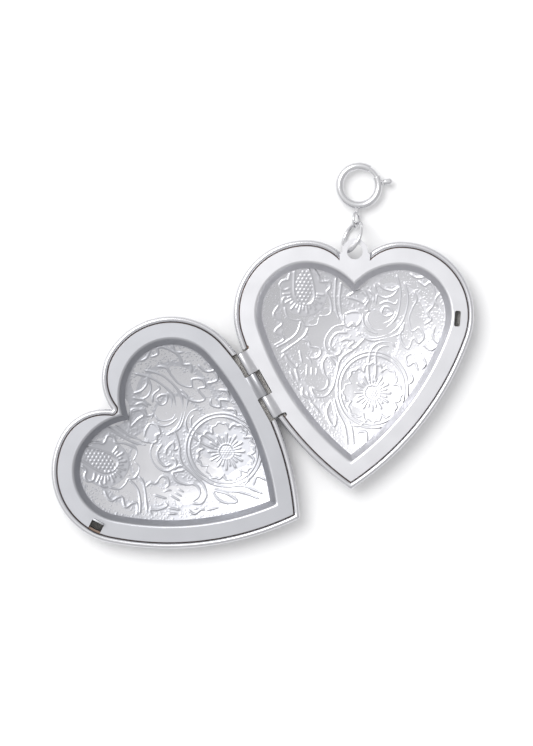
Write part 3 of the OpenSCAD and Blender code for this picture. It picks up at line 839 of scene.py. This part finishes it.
# %% The relief
LINE_W, LINE_H, DOT, DOT_H = 0.12, 0.085, 0.3, 0.034
ROW = 0.87
CONE_W, CONE_H = 1.15, 2.3
CORE_R, PETALS_R, PUFF = 1.0, 3.1, 0.03


def dots(x, y, pitch, tall):
    """Round bumps in staggered rows."""
    row = round(y / (pitch * ROW))
    dx = (x / pitch + 0.5 * (row % 2)) % 1 - 0.5
    dy = (y / (pitch * ROW) - row) * ROW
    return tall * max(0.0, 1 - 6 * (dx * dx + dy * dy))


def relief(x, y):
    """How far the pressing stands above the plain floor."""
    nearest, gap = raised.find((x, y, 0))[1:]
    height = LINE_H * strength[nearest] * math.exp(-(gap / LINE_W) ** 2)
    p = Vector((x, y))
    seeds = ((p - CONE).x / CONE_W) ** 2 + ((p - CONE).y / CONE_H) ** 2
    core = (p - DAISY).length
    if seeds < 1:
        height += 0.08 * (1 - seeds) + dots(x, y, 0.52, 0.06)
    elif core < CORE_R:
        height += 0.06 * (1 - core ** 2) + dots(x, y, 0.34, 0.03)
    elif core < PETALS_R:
        height += PUFF * math.sin(math.pi * (core - CORE_R) / (PETALS_R - CORE_R))
    elif (p - RAYS).length < 3.0 or (p - TULIP).length < 1.0:
        height += PUFF
    elif gap > 0.2:
        height += DOT_H * max(0.0, 1 - 6 * noise.voronoi((x / DOT, y / DOT, 0))[0][0] ** 2)
    return height


# %% Make the pressed floors
CELL, CELLS = 0.078, 330
FLOOR_Y, FLOOR_IN = -1.9, 2.97
CLEAR = 0.01


def floor(flip):
    """A grid laid over the shell's own floor, cut to the recess and raised by the relief."""
    bm = bmesh.new()
    bmesh.ops.create_grid(bm, x_segments=CELLS, y_segments=CELLS, size=CELLS / 2 * CELL,
                          matrix=Matrix.Translation((0, FLOOR_Y, 0)))
    outside = [v for v in bm.verts if inset_at(v.co.x, v.co.y, recess=True) < FLOOR_IN]
    bmesh.ops.delete(bm, geom=outside, context="VERTS")
    for v in bm.verts:
        over = min(2.3, max(0.0, HOLLOW_IN - inset_at(v.co.x, v.co.y)))
        side = HOLLOW_Z - math.sqrt(HOLLOW_R ** 2 - over ** 2)
        plain = max(side, dome_z(v.co.x, v.co.y, HOLLOW_T))
        v.co.z = plain + CLEAR + relief(flip * v.co.x, v.co.y)
    return bm


add_piece(floor(1), "rear_floor_pressed", FLOOR_REAR, "rear_cover", [], sharp=80)
add_piece(floor(-1), "front_floor_pressed", FLOOR_FRONT_PAINTED_SHADE, "front_cover", [],
          front=True, sharp=80)

# %% [markdown]
# ## Stage, light and camera
#
# A pale table, a soft light from the upper left, and a bright room. Plate shows whatever is
# round it, so the room matters as much as the lamp: it is bright overhead and on the light's
# side, and greyer low down on the other side.

# %% The table
bm = bmesh.new()
bmesh.ops.create_grid(bm, x_segments=1, y_segments=1, size=1.5)
top = bpy.data.meshes.new("table")
bm.to_mesh(top)
bm.free()
table = bpy.data.objects.new("table", top)
scene.collection.objects.link(table)
white = bpy.data.materials.new("table, white paper")
white.use_nodes = True
paper = white.node_tree.nodes["Principled BSDF"]
paper.inputs["Base Color"].default_value = linear("#FBFBFB")
paper.inputs["Roughness"].default_value = 0.9
top.materials.append(white)
print("table:", len(top.polygons), "face")

# %% [markdown]
# The camera looks straight down from 600 mm. Its lens is worked out from the width that it
# takes in at the height of the frames.

# %% The camera
VIEW_W, VIEW_X, VIEW_Y = 67.74, -10.96, -3.01
HEIGHT, SENSOR = 600.0, 36
lens = bpy.data.cameras.new("camera")
lens.sensor_fit, lens.sensor_width = "HORIZONTAL", SENSOR
lens.lens = SENSOR * (HEIGHT - HALF_H) / VIEW_W
lens.clip_start, lens.clip_end = 0.05, 5
camera = bpy.data.objects.new("camera", lens)
camera.location = (VIEW_X * MM, VIEW_Y * MM, HEIGHT * MM)
camera.rotation_euler = (0, 0, math.radians(1.01))
scene.collection.objects.link(camera)
scene.camera = camera
print("lens:", round(lens.lens, 1), "mm")

# %% The lamp and the room
lamp = bpy.data.lights.new("lamp", "AREA")
lamp.shape, lamp.size, lamp.energy = "DISK", 0.7, 5.5
lamp_at = bpy.data.objects.new("lamp", lamp)
lamp_at.location = (-0.42, 0.38, 0.95)
lamp_at.rotation_euler = (Vector((-0.01, 0, 0)) - lamp_at.location).to_track_quat("-Z", "Y").to_euler()
scene.collection.objects.link(lamp_at)

room = bpy.data.worlds.new("room")
room.use_nodes = True
scene.world = room
sky = room.node_tree
BRIGHT_SIDE = (-0.46, 0.38, 0.8)
where = add_node(sky, "ShaderNodeTexCoord")
towards = add_node(sky, "ShaderNodeVectorMath", {"operation": "DOT_PRODUCT"}, {1: BRIGHT_SIDE},
                   {0: where.outputs["Generated"]})
shade = add_node(sky, "ShaderNodeValToRGB", links={"Fac": towards.outputs["Value"]})
shade.color_ramp.elements[0].color = (0.62, 0.62, 0.63, 1)
shade.color_ramp.elements[1].color = (1.3, 1.3, 1.31, 1)
for position, grey in ((0.55, 0.7), (0.8, 0.9)):
    shade.color_ramp.elements.new(position).color = (grey, grey, 1.01 * grey, 1)
sky.links.new(shade.outputs["Color"], sky.nodes["Background"].inputs["Color"])
scene.view_settings.view_transform = "Standard"
print("lights:", lamp.name, "and", room.name)
